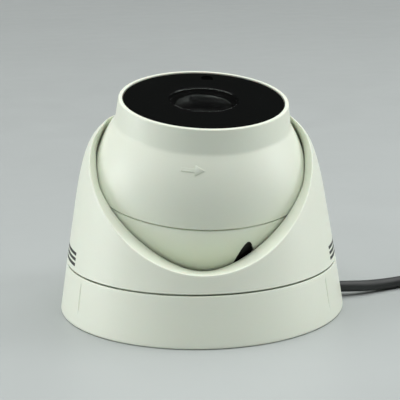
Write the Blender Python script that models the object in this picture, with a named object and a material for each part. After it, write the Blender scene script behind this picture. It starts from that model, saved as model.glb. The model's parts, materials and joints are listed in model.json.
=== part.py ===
"""Turret (eyeball) surveillance camera: base, turning housing and a ball that tilts and rotates.

Units are metres, +Z is up and the object stands on its mounting base at z = 0. The opening of the
housing faces -Y. Sizes below are written in millimetres and scaled by MM where they are used.
"""
import math

import bmesh
import bpy
from mathutils import Matrix, Vector

MM = 0.001

# Clearances
GAP = 0.3                      # between pieces that touch

# Mounting base
BASE_R = 55.5                  # outer radius on the ceiling or table
BASE_TOP_R = 52.27             # outer radius at the parting line
BASE_H = 18.72
BASE_WALL = 2.6
FLOOR_T = 2.5
CABLE_HOLE_R = 13.0            # hole through the floor for a cable that leaves downwards
FIXING_R = 40.0                # circle of the fixing holes and of the lock ring's screws
SEAT_R0, SEAT_R1 = 24.2, 28.0  # ring that carries the ball
LOCK_R0, LOCK_R1 = 37.0, 45.9
LOCK_Z0, LOCK_Z1 = 16.9, 18.7

# Housing
HOUSING_Z0 = BASE_H + 0.33
WALL_SLOPE = 0.171
WALL = 2.5
CUT_Z, CUT_SLOPE = 74.6, 0.952     # slanted opening: z = CUT_Z + CUT_SLOPE * y
CREST_Z = 73.0                     # level edge of the hood behind the opening
REST_PAN = math.radians(2.0)       # the opening is turned a little to +X
LIP_Z, LIP_SIDE_Z, LIP_CREST_Z = 22.0, 57.7, 71.3   # funnel's inner edge: front, sides and back
LIP_GAP = 0.5                      # between that edge and the ball
LIP_T = 2.4
HOOD_FACETS = 60

# Ball
BALL_Z = 48.7
FRONT_R = 41.3                 # front shell
REAR_R = 40.8                  # rear shell
SHELL_T = 2.4
REAR_T = 3.4
SPLIT_H = -1.2                 # parting line, measured along the lens axis
REST_TILT = math.radians(11.17)    # lens axis leans towards the opening
REST_ROLL = math.radians(3.15)     # and a little to +X
RIM_R, RIM_H = 31.86, 33.73
WINDOW_R, WINDOW_H = 30.45, 33.39
LENS_WINDOW_R = 13.05
POCKET_R, POCKET_AT = 3.95, 35.75  # screw pockets of the rear shell, parallel to the lens axis
POCKET_AZ = (-64.0, 56.0, 176.0)
GLIDE_A0, GLIDE_A1 = 28.0, 34.0    # the glide ring's edges, in degrees from the back of the ball
LED_SCREW_R, LED_SCREW_AZ = 27.4, (0.0, 180.0)

# Cable
CABLE_R = 2.2
CABLE_Z = 3.7                  # height of the cable in its outlet
OUTLET_AZ = 5.0                # direction of the outlet, in degrees from +X
COIL_AT = (116.0, -1.0)
COIL_R = 24.0
SOCKET_AT = (155.5, -15.0)     # where the socket's boot begins; the socket points to -Y
SOCKET_W, SOCKET_HT, SOCKET_L = 15.6, 13.6, 32.0
SOCKET_AXIS_Z = 7.0
BOOT_L = 13.0

# Facets round a full turn
FINE, MEDIUM, COARSE = 40, 24, 12


# ---------------------------------------------------------------- helpers

def clear_scene():
    for obj in list(bpy.data.objects):
        bpy.data.objects.remove(obj, do_unlink=True)


MATERIALS = {
    "white_plastic": ((0.80, 0.83, 0.77), 0.38, 0.0),
    "black_glass": ((0.008, 0.009, 0.008), 0.08, 0.0),
    "clear_glass": ((0.75, 0.80, 0.85), 0.03, 0.0),
    "filter_glass": ((0.35, 0.10, 0.12), 0.05, 0.0),
    "black_plastic": ((0.015, 0.016, 0.015), 0.45, 0.0),
    "black_rubber": ((0.02, 0.021, 0.02), 0.75, 0.0),
    "nylon": ((0.62, 0.61, 0.56), 0.5, 0.0),
    "felt": ((0.05, 0.05, 0.05), 0.95, 0.0),
    "cable_jacket": ((0.022, 0.024, 0.023), 0.55, 0.0),
    "steel": ((0.62, 0.62, 0.63), 0.3, 1.0),
    "aluminium": ((0.72, 0.73, 0.75), 0.35, 1.0),
    "gold": ((0.83, 0.62, 0.25), 0.25, 1.0),
    "board": ((0.02, 0.16, 0.06), 0.5, 0.0),
    "chip": ((0.03, 0.03, 0.035), 0.4, 0.0),
    "connector": ((0.78, 0.76, 0.70), 0.5, 0.0),
}


def material(name):
    found = bpy.data.materials.get(name)
    if found:
        return found
    color, roughness, metallic = MATERIALS[name]
    mat = bpy.data.materials.new(name)
    mat.use_nodes = True
    shader = mat.node_tree.nodes["Principled BSDF"]
    shader.inputs["Base Color"].default_value = (*color, 1.0)
    shader.inputs["Roughness"].default_value = roughness
    shader.inputs["Metallic"].default_value = metallic
    mat.diffuse_color = (*color, 1.0)
    return mat


def make_object(name, bm, mat, parent=None, sharp=30):
    bmesh.ops.recalc_face_normals(bm, faces=bm.faces)
    mesh = bpy.data.meshes.new(name)
    bm.to_mesh(mesh)
    bm.free()
    mesh.shade_smooth()
    mesh.set_sharp_from_angle(angle=math.radians(sharp))
    if mat:
        mesh.materials.append(material(mat))
    obj = bpy.data.objects.new(name, mesh)
    bpy.context.collection.objects.link(obj)
    obj.parent = parent
    return obj


def add_empty(name, location, rotation, parent=None):
    empty = bpy.data.objects.new(name, None)
    empty.empty_display_size = 10 * MM
    bpy.context.collection.objects.link(empty)
    empty.parent = parent
    empty.location = [v * MM for v in location]
    empty.rotation_euler = rotation
    return empty


def ring_of(bm, points):
    return [bm.verts.new([c * MM for c in p]) for p in points]


def bridge(bm, ring_a, ring_b):
    count = len(ring_a)
    for i in range(count):
        j = (i + 1) % count
        bm.faces.new((ring_a[i], ring_a[j], ring_b[j], ring_b[i]))


def turn(bm, profile, steps, centre=(0.0, 0.0)):
    """Turn a closed profile of (radius, height) points round a vertical axis.

    A profile that starts and ends on the axis makes a solid with pole points, any other a ring.
    Off-centre pieces start between two facets, so that their corners miss the larger ones' edges.
    """
    solid = profile[0][0] == 0.0
    inner = profile[1:-1] if solid else profile
    phase = 0.0 if centre == (0.0, 0.0) else 0.37
    angles = [math.tau * (i + phase) / steps for i in range(steps)]
    rings = []
    for radius, height in inner:
        rings.append(ring_of(bm, [(centre[0] + radius * math.cos(a), centre[1] + radius * math.sin(a),
                                   height) for a in angles]))
    for ring_a, ring_b in zip(rings, rings[1:]):
        bridge(bm, ring_a, ring_b)
    if not solid:
        bridge(bm, rings[-1], rings[0])
        return
    for pole, ring in ((profile[0], rings[0]), (profile[-1], rings[-1])):
        tip = ring_of(bm, [(centre[0], centre[1], pole[1])])[0]
        for i in range(steps):
            bm.faces.new((ring[i], ring[(i + 1) % steps], tip))


def turned(name, profile, steps, mat, parent=None, sharp=30):
    bm = bmesh.new()
    turn(bm, profile, steps)
    return make_object(name, bm, mat, parent, sharp)


def add_box(bm, low, high):
    xs, ys, zs = zip(low, high)
    loops = [ring_of(bm, [(xs[0], ys[0], z), (xs[1], ys[0], z), (xs[1], ys[1], z), (xs[0], ys[1], z)])
             for z in zs]
    bridge(bm, *loops)
    bm.faces.new(loops[0])
    bm.faces.new(loops[1])


def add_rod(bm, radius, z0, z1, steps, centre=(0.0, 0.0)):
    turn(bm, [(0.0, z0), (radius, z0), (radius, z1), (0.0, z1)], steps, centre)


def screw(name, at, z_under_head, head_r, head_t, shank_r, shank_l, parent=None, up=True):
    """A pan-head screw; its shank runs up from the head, or down from it."""
    sign = 1.0 if up else -1.0
    profile = [(0.0, z_under_head + sign * shank_l), (shank_r * 0.6, z_under_head + sign * shank_l),
               (shank_r, z_under_head + sign * (shank_l - 0.6)), (shank_r, z_under_head),
               (head_r, z_under_head), (head_r, z_under_head - sign * head_t * 0.6),
               (head_r * 0.7, z_under_head - sign * head_t), (head_r * 0.35, z_under_head - sign * head_t),
               (head_r * 0.25, z_under_head - sign * head_t * 0.55), (0.0, z_under_head - sign * head_t * 0.55)]
    bm = bmesh.new()
    turn(bm, profile, 8, at)
    return make_object(name, bm, "steel", parent)


def box(name, low, high, mat, parent=None):
    bm = bmesh.new()
    add_box(bm, low, high)
    return make_object(name, bm, mat, parent)


def combine(target, tools, operation):
    """Cut the tools out of the target, add them or keep what they share; the tools are guides."""
    for tool in tools:
        tool.hide_render = True
        tool.display_type = "WIRE"
        tool.parent = target.parent
        mod = target.modifiers.new(tool.name, "BOOLEAN")
        mod.object = tool
        mod.operation = operation
        mod.solver = "EXACT"


def polar(radius, degrees):
    angle = math.radians(degrees)
    return (radius * math.cos(angle), radius * math.sin(angle))


def sphere_r(radius, height):
    return math.sqrt(radius * radius - height * height)


def arc(radius, start, end, count):
    """(radius, height) points on a sphere, by angle in degrees from the lens end of the axis."""
    angles = [math.radians(start + (end - start) * i / (count - 1)) for i in range(count)]
    return [(radius * math.sin(a), radius * math.cos(a)) for a in angles]


def smooth_curve(points, samples):
    """Evenly spaced points on one smooth curve through the given points."""
    pts = [Vector(p) for p in points]
    pts = [pts[0] * 2 - pts[1], *pts, pts[-1] * 2 - pts[-2]]
    dense = []
    for a, b, c, d in zip(pts, pts[1:], pts[2:], pts[3:]):
        for i in range(24):
            t = i / 24
            dense.append(0.5 * (2 * b + (c - a) * t + (2 * a - 5 * b + 4 * c - d) * t ** 2
                                + (3 * b - a - 3 * c + d) * t ** 3))
    dense.append(pts[-2])
    lengths = [0.0]
    for a, b in zip(dense, dense[1:]):
        lengths.append(lengths[-1] + (b - a).length)
    result, k = [], 0
    for i in range(samples):
        wanted = lengths[-1] * i / (samples - 1)
        while k < len(lengths) - 2 and lengths[k + 1] < wanted:
            k += 1
        share = (wanted - lengths[k]) / (lengths[k + 1] - lengths[k])
        result.append(dense[k].lerp(dense[k + 1], share))
    return result


def tube(name, points, radius, mat, parent=None):
    curve = bpy.data.curves.new(name, "CURVE")
    curve.dimensions = "3D"
    curve.bevel_depth = radius * MM
    curve.bevel_resolution = 2
    curve.use_fill_caps = True
    spline = curve.splines.new("POLY")
    spline.points.add(len(points) - 1)
    for target, point in zip(spline.points, points):
        target.co = (*[c * MM for c in point], 1.0)
    curve.materials.append(material(mat))
    obj = bpy.data.objects.new(name, curve)
    bpy.context.collection.objects.link(obj)
    obj.parent = parent
    return obj


# ---------------------------------------------------------------- base

def base_radius(z):
    return BASE_R + (BASE_TOP_R - BASE_R) * z / BASE_H


def radial_block(name, r0, r1, width, z0, z1, parent=None, mat=None):
    """A block with an arched top that lies along the cable outlet's direction."""
    half = width / 2
    crown = [(half * math.cos(a), z1 - half * 0.75 + half * 0.75 * math.sin(a))
             for a in (math.pi * i / 8 for i in range(9))]
    outline = [(half, z0), *crown, (-half, z0)]
    spin = Matrix.Rotation(math.radians(OUTLET_AZ), 4, "Z")
    bm = bmesh.new()
    loops = [ring_of(bm, [spin @ Vector((r, y, z)) for y, z in outline]) for r in (r0, r1)]
    bridge(bm, *loops)
    bm.faces.new(loops[0])
    bm.faces.new(loops[1])
    return make_object(name, bm, mat, parent)


def outlet_bore(name, r0, r1, radius):
    bm = bmesh.new()
    add_rod(bm, radius, r0, r1, COARSE)
    lay_down = Matrix.Rotation(math.radians(OUTLET_AZ), 4, "Z") @ Matrix.Rotation(math.pi / 2, 4, "Y")
    bmesh.ops.transform(bm, matrix=Matrix.Translation((0, 0, CABLE_Z * MM)) @ lay_down, verts=bm.verts)
    return make_object(name, bm, None)


def build_base():
    wall_in = base_radius(FLOOR_T) - BASE_WALL
    profile = [
        (CABLE_HOLE_R, 0.0), (BASE_R - 0.7, 0.0), (BASE_R - 0.14, 0.7), (base_radius(BASE_H - 0.45),
                                                                        BASE_H - 0.45),
        (BASE_TOP_R - 0.45, BASE_H), (BASE_TOP_R - BASE_WALL, BASE_H), (wall_in, FLOOR_T),
        (SEAT_R1 - 0.6, FLOOR_T), (SEAT_R1 - 0.6, 14.2), (SEAT_R0 + 0.4, 14.2),
        (SEAT_R0 + 0.4, FLOOR_T), (CABLE_HOLE_R, FLOOR_T)]
    base = turned("mounting_base", profile, FINE, "white_plastic")

    bosses = bmesh.new()
    pilots = bmesh.new()
    fixings = bmesh.new()
    for k in range(3):
        add_rod(bosses, 3.0, 1.0, LOCK_Z0 - GAP, COARSE, polar(FIXING_R, 90 + 120 * k))
        add_rod(pilots, 1.6, 6.0, 30.0, COARSE, polar(FIXING_R, 90 + 120 * k))
        add_rod(fixings, 2.2, -2.0, 6.0, COARSE, polar(FIXING_R, 30 + 120 * k))
    combine(base, [radial_block("outlet_guide", 42.0, 60.0, 8.6, -1.0, 7.6),
                   make_object("fixing_guide", fixings, None)], "DIFFERENCE")
    combine(base, [make_object("boss_guide", bosses, None)], "UNION")
    combine(base, [make_object("pilot_guide", pilots, None)], "DIFFERENCE")

    grommet = radial_block("cable_grommet", 50.6, base_radius(CABLE_Z) - 0.25, 8.0, 0.25, 7.3,
                           mat="black_rubber")
    combine(grommet, [outlet_bore("grommet_guide", 48.0, 58.0, CABLE_R + GAP)], "DIFFERENCE")

    clear = FRONT_R + GAP
    seat_top = [(r, BALL_Z - sphere_r(clear, r)) for r in (SEAT_R1, 0.5 * (SEAT_R0 + SEAT_R1), SEAT_R0)]
    turned("seat_ring", [(SEAT_R0, 14.5), (SEAT_R1, 14.5), *seat_top], FINE, "nylon")

    lock = turned("lock_ring", [(LOCK_R0, LOCK_Z0), (LOCK_R1, LOCK_Z0), (LOCK_R1, LOCK_Z1),
                                (LOCK_R0, LOCK_Z1)], FINE, "steel")
    holes = bmesh.new()
    for k in range(3):
        at = polar(FIXING_R, 90 + 120 * k)
        add_rod(holes, 1.8, LOCK_Z0 - 1, LOCK_Z1 + 1, COARSE, at)
        screw(f"lock_ring_screw_{k + 1}", at, LOCK_Z1 + GAP, 2.5, 1.5, 1.25, 9.0, up=False)
    combine(lock, [make_object("lock_hole_guide", holes, None)], "DIFFERENCE")


# ---------------------------------------------------------------- housing

def housing_radius(z):
    """Outer radius of the housing: a drafted wall that rounds over towards the hood's edge."""
    s = max(0.0, (z - 44.0) / 28.0)
    return BASE_TOP_R - WALL_SLOPE * (z - BASE_H) - 2.6 * s ** 2 - 4.0 * s ** 6


def opening_height(y):
    """Height of the opening's edge: the slanted cut, eased into the level crest behind it."""
    ease = 1.2
    cut = CUT_Z + CUT_SLOPE * y
    low = min(cut, CREST_Z)
    return low - ease * math.log1p(math.exp(-abs(cut - CREST_Z) / ease))


def edge_point(azimuth, inset, drop):
    """Where a ray at this azimuth meets the opening's edge, this far inside the outer wall."""
    low, high = 20.0, CREST_Z
    for _ in range(40):
        z = 0.5 * (low + high)
        y = (housing_radius(z) - inset) * math.sin(azimuth - REST_PAN)
        if z < opening_height(y) - drop:
            low = z
        else:
            high = z
    return housing_radius(z) - inset, z


def lip_height(azimuth):
    """Height of the funnel's inner edge: low in front, steep at the sides, level behind."""
    side = math.cos(azimuth - REST_PAN) ** 2
    if math.sin(azimuth - REST_PAN) < 0.0:
        return LIP_Z + (LIP_SIDE_Z - LIP_Z) * (0.85 * side + 0.15 * side ** 2)
    return LIP_SIDE_Z + (LIP_CREST_Z - LIP_SIDE_Z) * (1.0 - side)


def around_ball(z):
    """Radius, at this height, of a sphere that just clears the ball."""
    return math.sqrt((FRONT_R + LIP_GAP) ** 2 - (z - BALL_Z) ** 2)


def housing_section(azimuth):
    """The wall, the funnel that leads from the slanted edge in to the ball, and the foot."""
    outer_edge = edge_point(azimuth, 0.0, 0.5)
    chamfer = edge_point(azimuth, 0.55, 0.05)
    start = HOUSING_Z0 + 0.45
    outer = [start + (outer_edge[1] - start) * share for share in (0.0, 0.35, 0.65, 0.88)]
    lip = lip_height(azimuth)
    under = lip - LIP_T
    middle = 0.5 * (chamfer[1] + lip)
    middle_r = max(0.5 * (chamfer[0] + around_ball(lip)), around_ball(middle) + 0.1)
    funnel = [(middle_r, middle), (around_ball(lip) + 0.35, lip + 0.05), (around_ball(lip - 0.4), lip - 0.4),
              (around_ball(under), under), (max(around_ball(under) + 1.0, 36.3), max(under, 21.0))]
    inner_start = HOUSING_Z0 + 1.6
    inner_top = max(under - 1.2, inner_start + 0.5)
    inner = [inner_start + (inner_top - inner_start) * share for share in (1.0, 0.8, 0.55, 0.0)]
    foot = [(46.4, 20.0), (46.4, 16.6), (43.6, 16.6), (43.6, 14.6), (49.3, 14.6),
            (49.3, HOUSING_Z0), (housing_radius(HOUSING_Z0) - 0.45, HOUSING_Z0)]
    return [*[(housing_radius(z), z) for z in outer], outer_edge, chamfer, *funnel,
            *[(housing_radius(z) - WALL, z) for z in inner], *foot]


def build_housing(parent):
    bm = bmesh.new()
    loops = []
    for i in range(HOOD_FACETS):
        azimuth = math.tau * i / HOOD_FACETS
        loops.append(ring_of(bm, [(r * math.cos(azimuth), r * math.sin(azimuth), z)
                                  for r, z in housing_section(azimuth)]))
    for loop_a, loop_b in zip(loops, loops[1:] + loops[:1]):
        bridge(bm, loop_a, loop_b)
    make_object("housing", bm, "white_plastic", parent)

    for number, middle in enumerate((30.0, 90.0, 150.0), start=1):
        build_grip_pad(f"grip_pad_{number}", middle, parent)


def build_grip_pad(name, middle, parent):
    """A pad on the housing's inner wall that steadies the ball round its widest line."""
    z0, z1, half = 47.5, 54.5, 8.0
    near = [(sphere_r(FRONT_R + GAP, z - BALL_Z), z) for z in (z0, z1)]
    far = [(housing_radius(z) - WALL - 2 * GAP, z) for z in (z1, z0)]
    bm = bmesh.new()
    sections = []
    for i in range(5):
        azimuth = middle - half + 2 * half * i / 4
        sections.append(ring_of(bm, [(*polar(r, azimuth), z) for r, z in near + far]))
    for section_a, section_b in zip(sections, sections[1:]):
        bridge(bm, section_a, section_b)
    bm.faces.new(sections[0])
    bm.faces.new(sections[-1])
    make_object(name, bm, "felt", parent)


# ---------------------------------------------------------------- ball shells

def build_ball_shells(parent):
    inner = FRONT_R - SHELL_T
    collar_foot = 53.4
    front_profile = [
        *arc(FRONT_R, 91.4, collar_foot + 3.2, 7), (33.15, 25.9), (32.65, 28.5), (32.05, 33.1),
        (RIM_R - 0.25, RIM_H), (RIM_R - 0.8, RIM_H), (WINDOW_R + 0.3, WINDOW_H), (WINDOW_R + 0.3, 30.2),
        (27.8, 30.2), (27.8, 28.4), (29.6, 27.6), (29.6, 24.9), (26.0, 24.9), (26.0, 23.4),
        *arc(inner, 52.0, 91.5, 5)]
    front = turned("ball_front_shell", front_profile, FINE, "white_plastic", parent)
    bosses = bmesh.new()
    holes = bmesh.new()
    for azimuth in POCKET_AZ:
        add_rod(bosses, 2.9, 2.0, 11.0, COARSE, polar(POCKET_AT, azimuth))
        add_rod(holes, 1.6, 1.0, 9.0, COARSE, polar(POCKET_AT, azimuth))
    for azimuth in LED_SCREW_AZ:
        add_rod(holes, 1.0, 22.0, 26.0, 12, polar(LED_SCREW_R, azimuth))
    combine(front, [make_object("front_boss_guide", bosses, None, parent)], "UNION")
    combine(front, [make_object("front_hole_guide", holes, None, parent)], "DIFFERENCE")

    groove = (180 - GLIDE_A0 + 0.45, 180 - GLIDE_A1 - 0.45)
    groove_r = REAR_R - 1.8
    top = SPLIT_H - 0.15
    rear_inner = REAR_R - REAR_T
    shell_edge = 180 - math.degrees(math.asin(5.0 / REAR_R))
    inner_edge = 180 - math.degrees(math.asin(5.0 / rear_inner))
    rear_profile = [
        (38.55, top), *arc(REAR_R, 92.1, groove[1], 7), *arc(groove_r, groove[1], groove[0], 2),
        *arc(REAR_R, groove[0], shell_edge, 3), *arc(rear_inner, inner_edge, 97.0, 6),
        (36.4, 1.6), (37.5, 1.6), (37.5, top)]
    rear = turned("ball_rear_shell", rear_profile, FINE, "white_plastic", parent)

    boss = bmesh.new()
    pocket = bmesh.new()
    shank = bmesh.new()
    plug_clip = turned("plug_clip_guide", arc_solid(REAR_R - 1.3), FINE, None, parent)
    for number, azimuth in enumerate(POCKET_AZ, start=1):
        at = polar(POCKET_AT, azimuth)
        add_rod(boss, POCKET_R + 1.45, -30.0, top - 0.05, COARSE, at)
        add_rod(pocket, POCKET_R, -45.0, -6.0, 16, at)
        add_rod(shank, 1.75, -8.0, 4.0, COARSE, at)
        screw(f"shell_screw_{number}", at, -6.3, 2.7, 2.2, 1.3, 13.0, parent)
        rod = bmesh.new()
        add_rod(rod, POCKET_R - GAP, -45.0, -9.4, 16, at)
        plug = make_object(f"screw_plug_{number}", rod, "black_rubber", parent)
        combine(plug, [plug_clip], "INTERSECT")
    boss_obj = make_object("rear_boss_guide", boss, None, parent)
    clip = turned("rear_clip_guide", arc_solid(REAR_R - 0.25), FINE, None, parent)
    combine(boss_obj, [clip], "INTERSECT")
    combine(rear, [boss_obj], "UNION")
    combine(rear, [make_object("pocket_guide", pocket, None, parent),
                   make_object("shank_guide", shank, None, parent)], "DIFFERENCE")
    turned("ball_seal", [(37.8, top + GAP), (38.6, top + GAP), (38.6, 0.0), (37.8, 0.0)], 32,
           "black_rubber", parent)

    turned("cable_gland", [(CABLE_R + GAP, -40.5), (4.7, -40.4), (4.7, -36.9), (7.0, -36.3),
                           (7.0, -34.6), (3.4, -32.4), (CABLE_R + GAP, -32.4)], 16,
           "black_rubber", parent)


def arc_solid(radius):
    """Profile of a whole ball, from pole to pole."""
    points = arc(radius, 0.0, 180.0, 19)
    return [(0.0, radius), *points[1:-1], (0.0, -radius)]


def build_glide_ring(parent):
    outer = arc(REAR_R, 180 - GLIDE_A1, 180 - GLIDE_A0, 3)
    inner = arc(REAR_R - 1.5, 180 - GLIDE_A0, 180 - GLIDE_A1, 3)
    turned("glide_ring", [*outer, *inner], FINE, "nylon", parent)


# ---------------------------------------------------------------- window and lens

def build_window(parent):
    turned("window_gasket", [(28.2, 30.5), (30.4, 30.5), (30.4, 31.0), (28.2, 31.0)], MEDIUM,
           "black_rubber", parent)
    turned("window_panel", [(LENS_WINDOW_R + GAP, 31.3), (WINDOW_R, 31.3), (WINDOW_R, WINDOW_H),
                            (LENS_WINDOW_R + GAP, WINDOW_H)], FINE, "black_glass", parent)
    turned("lens_window", [(0.0, 31.7), (LENS_WINDOW_R, 31.7), (LENS_WINDOW_R, WINDOW_H - 0.1),
                           (0.0, WINDOW_H - 0.1)], MEDIUM, "clear_glass", parent)
    turned("lens_shroud", [(11.0, 27.0), (12.5, 31.4), (13.1, 31.4), (13.1, 27.2), (11.8, 22.6),
                           (11.0, 22.6)], MEDIUM, "black_rubber", parent)


def build_lens(parent):
    turned("lens_barrel", [
        (4.8, 10.8), (6.0, 10.8), (6.0, 18.4), (8.2, 18.4), (8.2, 21.2), (10.5, 22.6), (10.5, 30.8),
        (10.2, 31.2), (9.6, 31.2), (9.0, 29.6), (8.9, 25.4), (4.8, 25.4)], MEDIUM, "black_plastic", parent)
    dome = [(8.5 * math.sin(a), 26.0 + 2.4 * math.cos(a)) for a in (math.pi / 2 * i / 5 for i in range(1, 5))]
    turned("lens_front_glass", [(0.0, 28.4), *dome, (8.5, 25.7), (0.0, 25.7)], MEDIUM, "clear_glass",
           parent)
    turned("lens_rear_glass", [(0.0, 13.0), (3.0, 13.2), (4.5, 13.7), (4.5, 14.9), (3.0, 15.4),
                               (0.0, 15.6)], 16, "clear_glass", parent)

    holder = box("lens_holder", (-12.0, -10.0, 4.9), (12.0, 10.0, 15.6), "black_plastic", parent)
    cutters = bmesh.new()
    add_box(cutters, (-7.5, -6.5, 3.0), (7.5, 6.5, 8.0))
    slot = bmesh.new()
    add_box(slot, (-20.0, -5.6, 7.6), (20.0, 5.6, 10.2))
    bore = bmesh.new()
    add_rod(bore, 6.3, 9.5, 20.0, MEDIUM)
    combine(holder, [make_object("sensor_room_guide", cutters, None, parent),
                     make_object("filter_slot_guide", slot, None, parent),
                     make_object("lens_bore_guide", bore, None, parent)], "DIFFERENCE")
    box("filter_motor", (-5.0, 10.3, 6.0), (5.0, 15.8, 12.6), "black_plastic", parent)


def build_filter(parent):
    """Day and night filter: a carrier with two panes that slides across behind the lens."""
    carrier = box("filter_carrier", (-12.6, -5.2, 8.0), (4.6, 5.2, 9.6), "black_plastic", parent)
    panes = bmesh.new()
    for x in (0.0, -8.0):
        add_box(panes, (x - 3.4, -3.6, 7.0), (x + 3.4, 3.6, 11.0))
    combine(carrier, [make_object("pane_guide", panes, None, parent)], "DIFFERENCE")
    box("ir_cut_filter", (-3.1, -3.3, 8.5), (3.1, 3.3, 9.1), "filter_glass", parent)
    box("clear_filter", (-11.1, -3.3, 8.5), (-4.9, 3.3, 9.1), "clear_glass", parent)


# ---------------------------------------------------------------- electronics

POSTS = [(14.0, 14.0), (-14.0, -14.0)]


def build_boards(parent):
    main = turned("main_board", [(0.0, -8.0), (29.6, -8.0), (29.6, -6.4), (0.0, -6.4)], MEDIUM, "board",
                  parent, sharp=20)
    sensor = box("sensor_board", (-18.0, -18.0, 3.0), (18.0, 18.0, 4.6), "board", parent)
    holes = bmesh.new()
    for number, at in enumerate(POSTS, start=1):
        post = bmesh.new()
        turn(post, [(0.0, -8.6), (1.0, -8.6), (1.0, -6.1), (2.4, -6.1), (2.4, 2.7), (1.3, 2.7),
                    (1.3, -2.0), (0.0, -2.0)], 12, at)
        make_object(f"board_standoff_{number}", post, "aluminium", parent)
        screw(f"board_screw_{number}", at, 4.9, 1.9, 1.2, 1.0, 5.0, parent, up=False)
        add_rod(holes, 1.3, -9.0, 6.0, 12, at)
    guide = make_object("board_hole_guide", holes, None, parent)
    combine(main, [guide], "DIFFERENCE")
    combine(sensor, [guide], "DIFFERENCE")

    ir_board = turned("ir_board", [(13.6, 25.2), (28.8, 25.2), (28.8, 26.6), (13.6, 26.6)], MEDIUM,
                      "board", parent)
    led_holes = bmesh.new()
    for number, azimuth in enumerate(LED_SCREW_AZ, start=1):
        at = polar(LED_SCREW_R, azimuth)
        add_rod(led_holes, 1.0, 24.0, 28.0, 12, at)
        screw(f"ir_board_screw_{number}", at, 26.9, 1.1, 0.9, 0.7, 3.2, parent, up=False)
    combine(ir_board, [make_object("led_hole_guide", led_holes, None, parent)], "DIFFERENCE")

    turned("heat_spreader", [(0.0, -4.6), (16.0, -4.6), (16.0, -3.2), (0.0, -3.2)], MEDIUM, "aluminium",
           parent, sharp=20)
    box("processor", (-7.0, -7.0, -6.1), (7.0, 7.0, -4.9), "chip", parent)
    box("image_sensor", (-5.5, -4.5, 4.9), (5.5, 4.5, 6.3), "chip", parent)
    box("light_sensor", (-1.2, -23.2, 26.9), (1.2, -20.8, 28.0), "chip", parent)

    led = bmesh.new()
    turn(led, [(0.0, 26.9), (2.7, 26.9), (2.7, 28.2), (2.4, 29.4), (1.4, 30.4), (0.0, 30.7)], 16,
         (0.5, 23.0))
    make_object("ir_led", led, "clear_glass", parent)

    ribbon = [(-8.0, 2.7), (-19.5, 2.4), (-22.5, 0.5), (-23.2, -2.5), (-22.5, -6.1)]
    thick = 0.35
    bm = bmesh.new()
    upper = [(x + thick, z - thick) for x, z in reversed(ribbon)]
    loops = [ring_of(bm, [(x, y, z) for x, z in [*ribbon, *upper]]) for y in (-4.0, 4.0)]
    bridge(bm, *loops)
    bm.faces.new(loops[0])
    bm.faces.new(loops[1])
    make_object("ribbon_cable", bm, "connector", parent)

    box("tail_plug", (-5.0, -3.4, -16.6), (5.0, 3.4, -8.3), "connector", parent)
    tube("inner_lead", [(0.0, 0.0, z) for z in (-40.3, -32.0, -24.0, -16.9)], CABLE_R, "cable_jacket",
         parent)


# ---------------------------------------------------------------- cable and socket

def build_cable():
    out = Vector(polar(1.0, OUTLET_AZ))
    coil = Vector(COIL_AT)
    start = [(*(out * 44.5), CABLE_Z), (*(out * 50.0), CABLE_Z), (*(out * 56.0), CABLE_Z)]
    floor = CABLE_R + 0.1
    bends = [(61.5, 6.0, 3.4), (66.5, 8.0, 2.9), (73.5, 11.4, 2.4), (81.0, 15.0, floor),
             (86.5, 17.4, floor), (92.0, 19.5, floor)]
    tube("cable", smooth_curve([*start, *bends], 14), CABLE_R, "cable_jacket")

    half = CABLE_R * 2 + 0.1
    low, mid, high = 0.1, 3.2, 8.5
    bm = bmesh.new()
    turn(bm, [(COIL_R - half, low), (COIL_R + half, low), (COIL_R + half, mid), (COIL_R + 2.4, high),
              (COIL_R - 2.4, high), (COIL_R - half, mid)], 32, COIL_AT)
    make_object("cable_coil", bm, "cable_jacket")

    leave = coil + Vector(polar(COIL_R + 7.5, 12.0))
    tail = [(*leave, 5.9), (150.0, -0.6, 6.6), (153.6, -6.0, 6.9), (155.1, -10.4, SOCKET_AXIS_Z),
            (SOCKET_AT[0], SOCKET_AT[1] + GAP, SOCKET_AXIS_Z)]
    tube("cable_tail", smooth_curve(tail, 8), CABLE_R, "cable_jacket")

    band = bmesh.new()
    section_out = [(COIL_R - 6.2, 0.05), (COIL_R + 6.2, 0.05), (COIL_R + 6.2, 9.9), (COIL_R - 6.2, 9.9)]
    section_in = [(COIL_R - 5.0, 0.06), (COIL_R + 5.0, 0.06), (COIL_R + 5.0, 8.8), (COIL_R - 5.0, 8.8)]
    rings = []
    spin = Matrix.Rotation(math.radians(-125.0), 4, "Z")
    for y in (-3.0, 3.0):
        for section in (section_out, section_in):
            rings.append(ring_of(band, [Vector((*coil, 0)) + spin @ Vector((x, y, z)) for x, z in section]))
    out_a, in_a, out_b, in_b = rings
    bridge(band, out_a, out_b)
    bridge(band, in_b, in_a)
    bridge(band, in_a, out_a)
    bridge(band, out_b, in_b)
    make_object("cable_tie", band, "black_plastic")


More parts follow.
